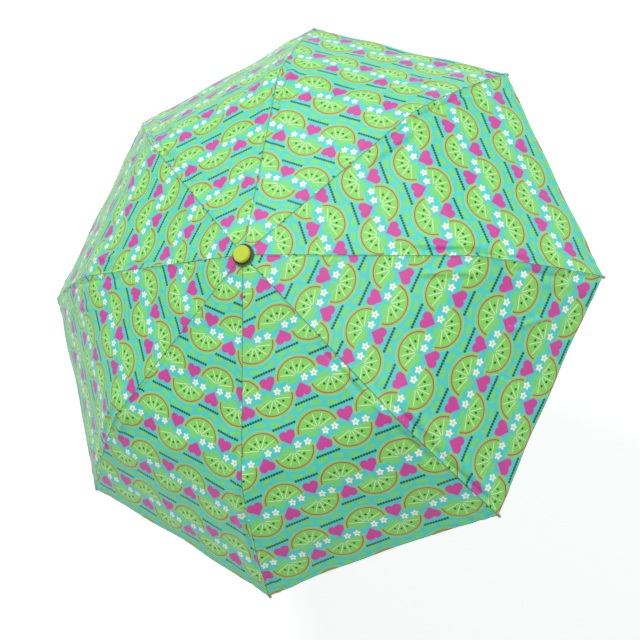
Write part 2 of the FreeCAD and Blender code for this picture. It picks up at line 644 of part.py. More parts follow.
def upper_tube():
    """Upper tube with a flared foot, a hole for the tube catch and a slot for the top catch."""
    body = new_body("upper_tube_drawn")
    foot = "dims.lower_reach - dims.tube_overlap"
    turned(body, "upper_tube_profile", (
        ("dims.upper_tube - dims.tube_wall", foot),
        ("dims.upper_tube + dims.foot_flare", foot),
        ("dims.upper_tube + dims.foot_flare", f"{foot} + dims.foot_length"),
        ("dims.upper_tube", f"{foot} + dims.foot_length + 2 * dims.foot_flare"),
        ("dims.upper_tube", "dims.apex_height - dims.crown_top"),
        ("dims.upper_tube - dims.tube_wall", "dims.apex_height - dims.crown_top"),
    ))
    hole = along_x("upper_catch_hole", "dims.catch_hole", 0, dim("runner_sleeve"), CATCH_HEIGHT)
    turned_to_catch(hole)
    slot = doc.addObject("Part::Box", "top_catch_slot")
    slot.setExpression("Length", "dims.runner_sleeve")
    slot.setExpression("Width", "dims.catch_slot")
    slot.setExpression("Height", "dims.slot_length")
    slot.Placement = Placement(Vector(0, -dim("catch_slot") / 2, SLOT_FOOT), Rotation())
    turned_to_catch(slot)
    return [without("upper_tube_piece", body, [hole, slot])]


def lower_tube():
    """Lower tube, set in the handle, with a hole for the tube catch."""
    body = new_body("lower_tube_drawn")
    turned(body, "lower_tube_profile", (
        ("dims.lower_tube - dims.tube_wall", "dims.handle_length - dims.handle_bore"),
        ("dims.lower_tube", "dims.handle_length - dims.handle_bore"),
        ("dims.lower_tube", "dims.lower_reach"),
        ("dims.lower_tube - dims.tube_wall", "dims.lower_reach"),
    ))
    hole = along_x("lower_catch_hole", "dims.catch_hole", 0, dim("runner_sleeve"), CATCH_HEIGHT)
    turned_to_catch(hole)
    return [without("lower_tube_piece", body, [hole])]


def tube_bush():
    """Guide bush pressed in the mouth of the lower tube."""
    body = new_body("bush_moulding")
    turned(body, "bush_profile", (
        ("dims.upper_tube + dims.bush_play", "dims.lower_reach - dims.bush_length"),
        ("dims.lower_tube - dims.tube_wall", "dims.lower_reach - dims.bush_length"),
        ("dims.lower_tube - dims.tube_wall", "dims.lower_reach"),
        ("dims.lower_tube", "dims.lower_reach"),
        ("dims.lower_tube", "dims.lower_reach + dims.bush_lip"),
        ("dims.upper_tube + dims.bush_play", "dims.lower_reach + dims.bush_lip"),
    ))
    return [body]


def tube_catch():
    """Bent leaf spring in the upper tube, with a round button through both tubes."""
    body = new_body("tube_catch_leaf")
    side = sketch_on(body, "XZ_Plane", "tube_catch_side")
    high = str(CATCH_HEIGHT)
    outline(side, (
        ("2.4", f"{high} + 3"),
        ("0.2", f"{high} - 18"),
        ("-1.8", f"{high} - 2"),
        ("-1.3", f"{high} - 2"),
        ("0.2", f"{high} - 14"),
        ("1.9", f"{high} + 3"),
    ))
    both_ways(body, "Pad", side, "dims.leaf_width")
    button = along_x("tube_catch_button", "dims.button_radius", 2, dim("button_reach"), CATCH_HEIGHT)
    return [joined("tube_catch_piece", [body, button])]


def top_catch():
    """Sloped catch that the open runner rests on, with its leaf inside the upper tube."""
    body = new_body("top_catch_leaf")
    side = sketch_on(body, "XZ_Plane", "top_catch_side")
    high = str(TOP_CATCH_HEIGHT)
    outline(side, (
        ("-0.6", high),
        ("dims.top_reach", high),
        ("dims.top_reach", f"{high} - 3"),
        ("3.9", f"{high} - 18.5"),
        ("0.2", f"{high} - 19"),
        ("0.2", f"{high} - 34"),
        ("-0.6", f"{high} - 34"),
    ))
    both_ways(body, "Pad", side, "dims.top_leaf")
    return [body]


def handle():
    """Moulded handle: a waisted grip with a bore for the tube and a hole for a wrist strap."""
    body = new_body("handle_moulding")
    tube_foot = "dims.handle_length - dims.handle_bore"
    turned(body, "handle_profile", (
        ("0", "dims.plug_depth"),
        ("dims.plug_radius", "dims.plug_depth"),
        ("dims.plug_radius", "0"),
        ("dims.handle_radius - 2.5", "0"),
        ("dims.handle_radius - 0.7", "0.9"),
        ("dims.handle_radius", "3"),
        ("dims.handle_radius", "dims.swell_foot"),
        ("dims.handle_radius - dims.handle_waist", "dims.waist_foot"),
        ("dims.handle_radius - dims.handle_waist", "dims.waist_top"),
        ("dims.handle_radius", "dims.swell_top"),
        ("dims.handle_radius + 0.5", "dims.handle_length - 2.5"),
        ("dims.handle_radius - 0.5", "dims.handle_length - 0.6"),
        ("dims.handle_radius - 2", "dims.handle_length"),
        ("dims.lower_tube", "dims.handle_length"),
        ("dims.lower_tube", tube_foot),
        ("0", tube_foot),
    ))
    high = sketch_on(body, "XZ_Plane", "strap_hole_sketch")
    ring(high, ("0", "dims.strap_height"), "dims.strap_hole")
    both_ways(body, "Pocket", high, "4 * dims.handle_radius")
    pieces = []
    for name, near, far in (
        ("strap_flat_front", "-dims.handle_radius - 5", "-dims.strap_flat"),
        ("strap_flat_back", "dims.strap_flat", "dims.handle_radius + 5"),
    ):
        pieces.append(across(name, ("0", "dims.strap_height"), "5", near, far))
    return [without("handle_piece", body, pieces)]


def handle_plug():
    """Round plug that closes the handle's end."""
    body = new_body("plug_moulding")
    turned(body, "plug_profile", (
        ("0", "0"),
        ("dims.plug_radius - 0.6", "0"),
        ("dims.plug_radius", "0.6"),
        ("dims.plug_radius", "dims.plug_depth"),
        ("0", "dims.plug_depth"),
    ))
    return [body]


def top_cap():
    """Round flat cap with a stud down into the upper tube."""
    body = new_body("cap_moulding")
    under = "dims.apex_height + dims.cap_seat"
    turned(body, "cap_profile", (
        ("0", "dims.apex_height - dims.stud_reach"),
        ("dims.cap_stud - 0.6", "dims.apex_height - dims.stud_reach"),
        ("dims.cap_stud", "dims.apex_height - dims.stud_reach + 1"),
        ("dims.cap_stud", under),
        ("dims.cap_radius", under),
        ("dims.cap_radius", f"{under} + dims.cap_height - 1.8"),
        ("dims.cap_radius - 0.5", f"{under} + dims.cap_height - 0.7"),
        ("dims.cap_radius - 1.6", f"{under} + dims.cap_height"),
        ("0", f"{under} + dims.cap_height"),
    ))
    return [body]


def rosette():
    """Cloth disc between the canopy and the cap."""
    body = new_body("rosette_disc")
    hole = "dims.cap_stud + 0.2"
    middle = "dims.apex_height + dims.cap_seat - 0.1"
    turned(body, "rosette_profile", (
        (hole, f"{middle} - dims.rosette_cloth"),
        ("dims.rosette_radius", "dims.apex_height - 0.2"),
        ("dims.rosette_radius", "dims.apex_height + dims.rosette_cloth - 0.2"),
        (hole, middle),
    ))
    return [body]


def crown_ring():
    """Wire ring that every inner rib hinges on."""
    sizes = {"Radius1": "dims.pivot_radius", "Radius2": "dims.ring_wire"}
    spot = ("0", "0", "dims.apex_height - dims.crown_drop")
    return [primitive("Torus", "crown_wire", sizes, spot)]


# ---------------------------------------------------------------- the assembly

for label, make in (
    ("handle", handle),
    ("handle_plug", handle_plug),
    ("lower_tube", lower_tube),
    ("tube_bush", tube_bush),
    ("upper_tube", upper_tube),
    ("crown", crown),
    ("crown_ring", crown_ring),
    ("rosette", rosette),
    ("top_cap", top_cap),
    ("runner", runner),
):
    node(label, make())
catch_turn = Placement(Vector(), Rotation(Vector(0, 0, 1), CATCH_AZIMUTH))
node("tube_catch", tube_catch(), catch_turn)
node("top_catch", top_catch(), catch_turn)

tip_tilt = OUTER_ANGLE - dim("rod_turn") / 2
tip_base = moved(moved(FOLD_PIVOT, ROD_END, OUTER_ANGLE), dim("rod_drop"), OUTER_ANGLE - 90)
tip_base = moved(tip_base, dim("tip_length"), tip_tilt + 180)
RIB_PIECES = (
    ("inner_rib", inner_rib(), CROWN_PIVOT, SLOPE),
    ("stretcher", stretcher(), RIB_RIVET, 180 - SLOPE),
    ("outer_rib", outer_rib(), FOLD_PIVOT, OUTER_ANGLE),
    ("link", link(), LINK_STUD, LINK_ANGLE),
    ("rib_tip", rib_tip(), tip_base, tip_tilt - 90),
)
gore = canopy_gore()
for number in RIBS:
    for label, pieces, spot, angle in RIB_PIECES:
        node(f"{label}_{number}", pieces, in_rib_plane(number, spot[0], spot[1], angle))
    between = Rotation(Vector(0, 0, 1), STEP_ANGLE * (number - 0.5))
    node(f"canopy_panel_{number}", gore, Placement(Vector(), between))

doc.recompute()
for item in doc.Objects:
    if "Invalid" in item.State or "Error" in item.State:
        raise RuntimeError(f"{item.Label} failed: {item.State}")
for item in NODES:
    if item.Shape.isNull() or not item.Shape.isValid() or not item.Shape.Solids:
        raise RuntimeError(f"{item.Label} has no valid solid")
os.makedirs("parts", exist_ok=True)
for item in NODES:
    item.Shape.exportStep(f"parts/{item.Label}.step")
print(f"{len(NODES)} sub-parts, link length {LINK_LENGTH:.3f}, outer rib angle {OUTER_ANGLE:.3f}")
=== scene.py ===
"""Child's folding umbrella: printed canopy, cap, rosette, ribs, shaft and handle round the CAD frame."""
import json
import math

import bmesh
import bpy
import numpy as np
from mathutils import Matrix, Vector


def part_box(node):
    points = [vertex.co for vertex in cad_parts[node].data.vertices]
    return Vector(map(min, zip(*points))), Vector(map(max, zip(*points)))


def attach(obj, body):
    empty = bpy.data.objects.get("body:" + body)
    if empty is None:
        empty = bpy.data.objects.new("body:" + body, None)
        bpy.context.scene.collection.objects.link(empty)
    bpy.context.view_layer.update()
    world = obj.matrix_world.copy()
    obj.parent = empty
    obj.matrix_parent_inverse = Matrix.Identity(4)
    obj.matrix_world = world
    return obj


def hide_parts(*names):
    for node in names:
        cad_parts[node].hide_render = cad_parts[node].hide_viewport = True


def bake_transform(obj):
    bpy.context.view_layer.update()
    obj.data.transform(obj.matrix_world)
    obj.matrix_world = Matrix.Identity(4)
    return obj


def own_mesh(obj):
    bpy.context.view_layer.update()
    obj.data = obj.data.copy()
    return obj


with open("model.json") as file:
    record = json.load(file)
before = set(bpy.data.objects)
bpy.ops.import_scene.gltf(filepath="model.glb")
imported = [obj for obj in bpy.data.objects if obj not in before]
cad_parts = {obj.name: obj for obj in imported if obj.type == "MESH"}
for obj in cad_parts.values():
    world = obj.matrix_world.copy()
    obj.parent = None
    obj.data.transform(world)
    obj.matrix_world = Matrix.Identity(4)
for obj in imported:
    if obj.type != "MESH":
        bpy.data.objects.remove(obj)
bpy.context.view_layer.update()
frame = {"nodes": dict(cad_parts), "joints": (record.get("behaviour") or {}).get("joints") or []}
JOINTS = {joint["name"]: joint for joint in frame["joints"]}
RIB_COUNT = 8
RIBS = range(1, RIB_COUNT + 1)
STEP = 2 * math.pi / RIB_COUNT
HALF_SIN = math.sin(STEP / 2)
HALF_COS = math.cos(STEP / 2)

CROWN_PIVOT = np.array([JOINTS["crown_hinge_1"]["pos_m"][0], JOINTS["crown_hinge_1"]["pos_m"][2]])
FOLD_PIVOT = np.array([JOINTS["fold_hinge_1"]["pos_m"][0], JOINTS["fold_hinge_1"]["pos_m"][2]])
TIP_LOW, TIP_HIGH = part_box("rib_tip_1")
TIP_BALL = 0.0023
TIP_CENTRE = np.array([TIP_HIGH[0] - TIP_BALL, TIP_LOW[2] + TIP_BALL])
ROD_TURN = math.radians(12)

CLOTH = 0.00035          # thickness of the taffeta
CLOTH_RISE = 0.0042      # cloth above the rib's middle line
HINGE_RISE = 0.0031      # cloth above the fold pivot
HOLE = 0.0042            # hole in the middle of the canopy
RIB_SOFTNESS = 0.007     # rounding of the fold along a rib
GORE_SOFTNESS = 0.034    # rounding of the fold along a gore's middle
# How far the hem of each gore is cut in at its middle, as a share of its length.
SCALLOPS = {1: 0.026, 2: 0.029, 3: 0.027, 4: 0.013, 5: 0.0155, 6: 0.007, 7: 0.0035, 8: 0.006}
FOLD_SHARE = 0.655       # where the inner and outer leaves of the canopy meet
HEM = 0.007              # width of the hem


# ---------------------------------------------------------------- the canopy's surface

def heading(angle):
    return np.array([math.cos(angle), math.sin(angle)])


def crossing(start_a, along_a, start_b, along_b):
    """The point where two lines of the rib plane meet."""
    share = np.linalg.solve(np.column_stack([along_a, -along_b]), start_b - start_a)
    return start_a + along_a * share[0]


def rib_line():
    """The cloth's line over a rib, hole to corner, as points one after another."""
    inner = FOLD_PIVOT - CROWN_PIVOT
    inner_angle = math.atan2(inner[1], inner[0])
    upright = heading(inner_angle + math.pi / 2)
    start = CROWN_PIVOT + upright * CLOTH_RISE
    along = heading(inner_angle)
    start = start - along * ((start[0] - HOLE) / along[0])
    chord = TIP_CENTRE - FOLD_PIVOT
    chord_angle = math.atan2(chord[1], chord[0])
    first = chord_angle + ROD_TURN / 2
    arc_start = FOLD_PIVOT + heading(first + math.pi / 2) * HINGE_RISE
    kink = crossing(start, along, arc_start, heading(first))
    last = chord_angle - ROD_TURN / 2
    corner = TIP_CENTRE - heading(last) * 0.0035 + heading(last + math.pi / 2) * 0.0021
    across = corner - kink
    length = np.hypot(*across)
    normal = np.array([-across[1], across[0]]) / length
    share = np.linspace(0, 1, 240)[:, None]
    bow = 4 * share * (1 - share) * length * ROD_TURN / 8
    arc = kink + across * share + normal * bow
    straight = start + (kink - start) * np.linspace(0, 1, 360)[:-1, None]
    return np.vstack([straight, arc])


def evenly(points, count=1200):
    """The same line with evenly spaced points."""
    steps = np.r_[0, np.cumsum(np.hypot(*np.diff(points, axis=0).T))]
    spots = np.linspace(0, steps[-1], count)
    return np.column_stack([np.interp(spots, steps, points[:, 0]), np.interp(spots, steps, points[:, 1])])


def softened(points, width):
    """The line with its bends rounded over a width in metres; its ends stay where they are."""
    spacing = LENGTH / (len(points) - 1)
    reach = int(3 * width / spacing)
    weights = np.exp(-0.5 * (np.arange(-reach, reach + 1) * spacing / width) ** 2)
    weights /= weights.sum()
    before = 2 * points[0] - points[reach:0:-1]
    after = 2 * points[-1] - points[-2:-reach - 2:-1]
    padded = np.vstack([before, points, after])
    return np.column_stack([np.convolve(padded[:, axis], weights, "valid") for axis in (0, 1)])


RAW_LINE = rib_line()
LENGTH = np.hypot(*np.diff(RAW_LINE, axis=0).T).sum()
EVEN_LINE = evenly(RAW_LINE)
RIB_LINE = softened(EVEN_LINE, RIB_SOFTNESS)
GORE_LINE = softened(EVEN_LINE, GORE_SOFTNESS)


def on_line(line, share):
    spots = np.linspace(0, 1, len(line))
    return np.interp(share, spots, line[:, 0]), np.interp(share, spots, line[:, 1])


def half_width(share):
    """Half the width of a gore, by share of its length."""
    return on_line(RIB_LINE, share)[0] * HALF_SIN


# Creases pressed in the cloth: gore, then start and end (across, along) in millimetres, width, height.
CREASES = (
    (5, (70, 190), (104, 300), 5.0, 1.5),
    (5, (96, 285), (140, 400), 6.0, -1.4),
    (5, (138, 330), (158, 440), 4.0, 1.3),
    (5, (-120, 300), (-138, 400), 5.0, 0.8),
    (6, (-5, 350), (-5, 492), 2.0, -0.9),
    (6, (62, 230), (104, 330), 5.5, 1.2),
    (6, (40, 380), (96, 440), 5.0, 0.9),
    (6, (-92, 300), (-132, 380), 5.0, 1.0),
    (4, (92, 250), (128, 390), 5.0, 1.2),
    (4, (-84, 250), (-118, 360), 6.0, 0.9),
    (7, (60, 200), (92, 310), 6.0, 1.1),
    (7, (-70, 220), (-110, 330), 6.0, 0.8),
    (3, (80, 260), (120, 380), 6.0, 1.2),
    (3, (-60, 300), (-118, 420), 6.0, 1.0),
    (8, (70, 220), (110, 350), 6.0, 1.0),
    (8, (-40, 300), (-100, 420), 7.0, 1.1),
    (1, (50, 260), (106, 390), 7.0, 1.0),
    (1, (-80, 260), (-112, 360), 6.0, 1.0),
    (2, (64, 240), (100, 340), 6.0, 1.0),
    (2, (-52, 300), (-110, 410), 6.0, 1.1),
)
MM = 0.001


def crease(across, along, start, end, width, height):
    """A long soft ridge between two spots of the flat gore."""
    run = np.subtract(end, start) * MM
    length = math.hypot(*run)
    run = run / length
    forward = (across - start[0] * MM) * run[0] + (along - start[1] * MM) * run[1]
    beside = -(across - start[0] * MM) * run[1] + (along - start[1] * MM) * run[0]
    fade = np.clip(forward / (0.3 * length), 0, 1) * np.clip((length - forward) / (0.3 * length), 0, 1)
    fade = fade * fade * (3 - 2 * fade)
    return height * MM * fade * np.exp(-(beside / (width * MM)) ** 2)


def ripple(gore, share, side):
    """How far the cloth stands off its smooth surface: slack between ribs, tension folds and creases."""
    width = half_width(share)
    across = side * width
    along = share * LENGTH
    away = (1 - np.abs(side)) * width
    phase = gore * 1.7
    pinned = 1 - np.abs(side) ** 8
    slack = 0.0010 * np.sin(along * 46 + phase) * np.sin(across * 38 + 2 * phase)
    slack = slack + 0.0007 * np.sin(along * 83 + across * 52 + 3 * phase)
    fan = np.sin(np.arctan2(away, (1.02 - share) * LENGTH + 0.01) * 17 + phase)
    corner = 0.0012 * fan * np.exp(-((1 - share) / 0.16) ** 2)
    knee = np.sin(np.arctan2((share - FOLD_SHARE) * LENGTH, away + 0.012) * 9 + 2 * phase)
    knee = 0.0009 * knee * np.exp(-((share - FOLD_SHARE) / 0.07) ** 2) * np.exp(-away / 0.05)
    gather = np.sin(along * 2 * math.pi / 0.021 + phase) + 0.6 * np.sin(along * 2 * math.pi / 0.0137)
    gather = 0.00022 * gather * np.exp(-(away / 0.009) ** 2) * np.clip(away / 0.002, 0, 1)
    tuck_at = 0.0085 + 0.0022 * np.sin(along * 21 + phase + 2 * np.sign(side))
    tuck = np.exp(-((away - tuck_at) / 0.0034) ** 2) - 0.4 * np.exp(-((away - 2.4 * tuck_at) / 0.0070) ** 2)
    strength = 0.5 + 0.5 * np.sin(along * 13 + 1.9 * gore + 2.4 * np.sign(side))
    tuck = -0.0034 * strength * tuck * np.clip((share - 0.30) / 0.3, 0, 1) * np.clip((1 - share) / 0.06, 0, 1)
    total = (slack + (corner + knee) * np.abs(side) ** 2) * pinned + gather + tuck
    for owner, start, end, width_mm, height_mm in CREASES:
        if owner == gore:
            total = total + crease(across, along, start, end, 0.75 * width_mm, 3.2 * height_mm)
    return total * np.clip(share / 0.25, 0, 1)


def surface(gore, share, side):
    """A point of the canopy: gore number, share of its length and side, -1 to 1 between its ribs."""
    tight = np.abs(side) ** 2.2
    cut = share * (1 - SCALLOPS[gore] * (1 - side ** 2) * share ** 4)
    rib_r, rib_z = on_line(RIB_LINE, cut)
    mid_r, mid_z = on_line(GORE_LINE, cut)
    radius = tight * rib_r + (1 - tight) * mid_r
    height = tight * rib_z + (1 - tight) * mid_z
    azimuth = STEP * (gore - 0.5)
    out = radius * HALF_COS
    along = side * radius * HALF_SIN
    x = out * math.cos(azimuth) - along * math.sin(azimuth)
    y = out * math.sin(azimuth) + along * math.cos(azimuth)
    return np.stack([x, y, height], axis=-1)


def normal_at(gore, share, side):
    """The surface's outward normal."""
    small = 0.004
    down = surface(gore, np.minimum(share + small, 1), side)
    down = down - surface(gore, np.maximum(share - small, 0), side)
    left = np.clip(side - small, -1, 1)
    right = np.clip(side + small, -1, 1)
    sideways = surface(gore, share, right) - surface(gore, share, left)
    normal = np.cross(down, sideways)
    return normal / np.linalg.norm(normal, axis=-1, keepdims=True)


def skin(gore, share, side):
    """The outer face of the finished cloth, with its seams, hem, slack and creases."""
    offsets = (1 - np.abs(side)) * half_width(share)
    lift = ripple(gore, share, side) + welt(offsets) + hem_step((1 - share) * LENGTH)
    return surface(gore, share, side) + normal_at(gore, share, side) * lift[..., None]


def skin_normal(gore, share, side):
    """The outer face's own normal, taken inside one gore."""
    small = 0.0006
    down = skin(gore, np.minimum(share + small, 1), side) - skin(gore, np.maximum(share - small, 0), side)
    right = np.clip(side + 3 * small, -1, 1)
    left = np.clip(side - 3 * small, -1, 1)
    normal = np.cross(down, skin(gore, share, right) - skin(gore, share, left))
    return normal / np.linalg.norm(normal, axis=-1, keepdims=True)


def welt(distance):
    """Height of the sewn seam beside a rib, by distance from it."""
    return 0.0005 * np.exp(-((distance - 0.0011) / 0.0007) ** 2) - 0.0002 * np.exp(-(distance / 0.0005) ** 2)


def hem_step(to_edge):
    """The doubled hem, with its stitch line pressed in."""
    doubled = 0.00035 * (to_edge < HEM)
    return doubled - 0.0003 * np.exp(-((to_edge - HEM + 0.001) / 0.0006) ** 2)


# ---------------------------------------------------------------- canopy meshes

SEAM_COLUMNS = np.array([0, 0.0006, 0.0012, 0.0019, 0.0030])
WIDE_COLUMNS = 24
# Where each gore was cut from the printed cloth: across and along, in millimetres.
GORE_CUTS = {1: (-30, 70), 2: (-5, 72), 3: (3, 50), 4: (-14, 53),
             5: (-31, 54), 6: (16, 70), 7: (0, 55), 8: (-32, 67)}


def leaf_rows(low, high, count):
    """Shares of the gore's length at a leaf's rows, closer together at the hem."""
    rows = np.linspace(low, high, count)
    if high == 1:
        edge = 1 - np.array([0.0104, 0.0088, 0.0076, 0.0068, 0.0060, 0.0052, 0.0040, 0.0012]) / LENGTH
        rows = np.sort(np.concatenate([rows, edge]))
    return rows


def leaf_grid(rib, rows):
    """Points, normals, sides and gores of one leaf, from one gore's middle over the rib to the next."""
    widths = half_width(rows)
    squeeze = np.minimum(1, widths / 0.012)[:, None]
    near = SEAM_COLUMNS[None, :] * squeeze
    rest = near[:, -1:] + (widths[:, None] - near[:, -1:]) * np.linspace(0, 1, WIDE_COLUMNS + 1)[None, 1:]
    offsets = np.hstack([near, rest])
    share = np.repeat(rows[:, None], offsets.shape[1], axis=1)
    halves = []
    for sign, gore in ((-1, (rib - 2) % RIB_COUNT + 1), (1, rib)):
        side = -sign * (1 - offsets / widths[:, None])
        base = surface(gore, share, side)
        normal = normal_at(gore, share, side)
        to_edge = (1 - share) * LENGTH
        lift = ripple(gore, share, side) + welt(offsets) + hem_step(to_edge)
        shading = skin_normal(gore, share, side)
        halves.append((base, normal, lift, side, gore, offsets, shading))
    low, high = halves
    crest = low[1][:, 0] + high[1][:, 0]
    crest /= np.linalg.norm(crest, axis=-1, keepdims=True)
    low[1][:, 0] = crest
    high[1][:, 0] = crest
    low[2][:, 0] = high[2][:, 0] = 0.5 * (low[2][:, 0] + high[2][:, 0])
    return share, halves


def leaf(name, rib, low, high, count, materials):
    """One closed leaf of cloth over one rib, with its print, seam and hem coordinates."""
    rows = leaf_rows(low, high, count)
    share, halves = leaf_grid(rib, rows)
    base = np.concatenate([halves[0][0][:, :0:-1], halves[1][0]], axis=1)
    normal = np.concatenate([halves[0][1][:, :0:-1], halves[1][1]], axis=1)
    lift = np.concatenate([halves[0][2][:, :0:-1], halves[1][2]], axis=1)[..., None]
    columns = base.shape[1]
    middle = columns // 2
    outer = base + normal * lift
    inner = base + normal * (lift - CLOTH)
    count = len(rows)
    points = np.concatenate([outer.reshape(-1, 3), inner.reshape(-1, 3)])
    layer = count * columns
    faces, coords, turns = [], [], []

    def spot(row, column, half):
        """Print and seam coordinates of one corner, taken on one side of the rib."""
        part = halves[half]
        index = middle - column if half == 0 else column - middle
        along = rows[row] * LENGTH
        across = part[3][row, index] * half_width(rows[row])
        cut = GORE_CUTS[part[4]]
        print_spot = (across - cut[0] * MM, along - cut[1] * MM)
        return print_spot, (part[5][row, index], (1 - rows[row]) * LENGTH), part[6][row, index]

    table = {(row, column, half): spot(row, column, half) for row in range(count)
             for half, first, last in ((0, 0, middle), (1, middle, columns - 1))
             for column in range(first, last + 1)}
    sides = []
    for row in range(count - 1):
        for column in range(columns - 1):
            half = 0 if column < middle else 1
            ring = [(row, column), (row + 1, column), (row + 1, column + 1), (row, column + 1)]
            quad = [r * columns + c for r, c in ring]
            spots = [table[(r, c, half)] for r, c in ring]
            faces.append(quad)
            coords.append(spots)
            turns.append(1)
            sides.append(0)
            faces.append([layer + index for index in reversed(quad)])
            coords.append(spots[::-1])
            turns.append(-1)
            sides.append(1)
    border = [(0, c) for c in range(columns)] + [(r, columns - 1) for r in range(1, count)]
    border += [(count - 1, c) for c in range(columns - 2, -1, -1)] + [(r, 0) for r in range(count - 2, 0, -1)]
    for index, (row, column) in enumerate(border):
        after_row, after_column = border[(index + 1) % len(border)]
        half = 0 if min(column, after_column) < middle else 1
        ring = [(row, column), (after_row, after_column)]
        here, after = (r * columns + c for r, c in ring)
        faces.append([here, after, layer + after, layer + here])
        spots = [table[(r, c, half)] for r, c in ring]
        coords.append([spots[0], spots[1], spots[1], spots[0]])
        turns.append(0)
        sides.append(0)
    mesh = bpy.data.meshes.new(name)
    mesh.from_pydata(points.tolist(), [], faces)
    for layer_name, which in (("print", 0), ("seam", 1)):
        uv = mesh.uv_layers.new(name=layer_name)
        flat = [value for spots in coords for pair in spots for value in pair[which]]
        uv.data.foreach_set("uv", flat)
    for material in materials:
        mesh.materials.append(material)
    mesh.polygons.foreach_set("material_index", sides)
    mesh.polygons.foreach_set("use_smooth", [True] * len(faces))
    mesh.update()
    bends = [turn * Vector(spot[2]) for spots, turn in zip(coords, turns) for spot in spots]
    mesh.normals_split_custom_set(bends)
    piece = bpy.data.objects.new(name, mesh)
    bpy.context.scene.collection.objects.link(piece)
    return piece


# ---------------------------------------------------------------- shader helpers

class Shader:
    """A material and short calls for its nodes."""

    def __init__(self, name):
        self.material = bpy.data.materials.new(name)
        self.material.use_nodes = True
        self.tree = self.material.node_tree
        self.surface = self.tree.nodes["Principled BSDF"]

    def put(self, socket, value):
        if isinstance(value, bpy.types.NodeSocket):
            self.tree.links.new(value, socket)
        else:
            socket.default_value = value

    def math(self, operation, *values):
        node = self.tree.nodes.new("ShaderNodeMath")
        node.operation = operation
        for socket, value in zip(node.inputs, values):
            self.put(socket, value)
        return node.outputs[0]

    def add(self, a, b):
        return self.math("ADD", a, b)

    def less(self, a, b):
        return self.math("SUBTRACT", a, b)

    def times(self, a, b):
        return self.math("MULTIPLY", a, b)

    def length(self, x, y):
        return self.math("SQRT", self.add(self.times(x, x), self.times(y, y)))

    def inside(self, distance, blur=0.0004):
        """1 where a distance is negative, 0 where it is positive, with a short soft edge."""
        node = self.tree.nodes.new("ShaderNodeMapRange")
        node.interpolation_type = "SMOOTHSTEP"
        self.put(node.inputs["Value"], distance)
        node.inputs["From Min"].default_value = blur
        node.inputs["From Max"].default_value = -blur
        return node.outputs["Result"]

    def mix(self, share, first, second, kind="MIX"):
        node = self.tree.nodes.new("ShaderNodeMix")
        node.data_type = "RGBA"
        node.blend_type = kind
        self.put(node.inputs[0], share)
        for socket, value in zip(node.inputs[6:8], (first, second)):
            self.put(socket, (*value, 1) if isinstance(value, tuple) and len(value) == 3 else value)
        return node.outputs[2]

    def noise(self, scale, detail, vector):
        node = self.tree.nodes.new("ShaderNodeTexNoise")
        node.inputs["Scale"].default_value = scale
        node.inputs["Detail"].default_value = detail
        self.put(node.inputs["Vector"], vector)
        return node.outputs["Fac"]

    def place(self):
        """Position in the object's own coordinates, in metres."""
        return self.tree.nodes.new("ShaderNodeTexCoord").outputs["Object"]

    def uv(self, name):
        node = self.tree.nodes.new("ShaderNodeUVMap")
        node.uv_map = name
        split = self.tree.nodes.new("ShaderNodeSeparateXYZ")
        self.tree.links.new(node.outputs[0], split.inputs[0])
        return split.outputs[0], split.outputs[1], node.outputs[0]

    def bump(self, height, strength, distance):
        node = self.tree.nodes.new("ShaderNodeBump")
        node.inputs["Strength"].default_value = strength
        node.inputs["Distance"].default_value = distance
        self.put(node.inputs["Height"], height)
        self.tree.links.new(node.outputs[0], self.surface.inputs["Normal"])

    def base(self, colour):
        self.put(self.surface.inputs["Base Color"], colour)

    def finish(self, roughness=0.5, metallic=0.0, **others):
        self.put(self.surface.inputs["Roughness"], roughness)
        self.surface.inputs["Metallic"].default_value = metallic
        for name, value in others.items():
            self.surface.inputs[name.replace("_", " ")].default_value = value
        return self.material


def linear(red, green, blue):
    """A screen colour, 0 to 255, as the renderer's linear colour."""
    def one(value):
        value /= 255
        return value / 12.92 if value <= 0.04045 else ((value + 0.055) / 1.055) ** 2.4
    return (one(red), one(green), one(blue))


# ---------------------------------------------------------------- the printed cloth

REPEAT_ACROSS = 0.0842
REPEAT_ALONG = 0.0800
SHIFT_ALONG = 0.0447     # the turned motifs sit half a repeat over and this much further on
HEART_ALONG = 0.0498     # from a slice to the heart below it
GROUND = linear(74, 206, 200)
LIME = linear(128, 214, 84)
LIME_EDGE = linear(160, 216, 96)
LEAF = linear(116, 214, 108)
PINK = linear(206, 58, 150)
PINK_EDGE = linear(150, 130, 200)
RIND = linear(188, 70, 112)
YOLK = linear(238, 206, 60)
DARK = linear(22, 84, 50)
WHITE = linear(240, 250, 236)


def wrapped(shader, value, centre, repeat):
    return shader.math("WRAP", shader.less(value, centre), repeat / 2, -repeat / 2)


def disc(shader, x, y, centre, radius, stretch=(1, 1)):
    """Distance outside an oval spot."""
    from_x = shader.times(shader.less(x, centre[0]), stretch[0])
    from_y = shader.times(shader.less(y, centre[1]), stretch[1])
    return shader.less(shader.length(from_x, from_y), radius)


def stroke(shader, x, y, start, angle, length, width):
    """Distance outside a short rounded stroke that starts at one spot and runs off at an angle."""
    turn_x, turn_y = math.cos(angle), math.sin(angle)
    from_x, from_y = shader.less(x, start[0]), shader.less(y, start[1])
    along = shader.add(shader.times(from_x, turn_x), shader.times(from_y, turn_y))
    beside = shader.less(shader.times(from_y, turn_x), shader.times(from_x, turn_y))
    past = shader.less(along, shader.math("MINIMUM", shader.math("MAXIMUM", along, 0.0), length))
    return shader.less(shader.length(past, beside), width / 2)


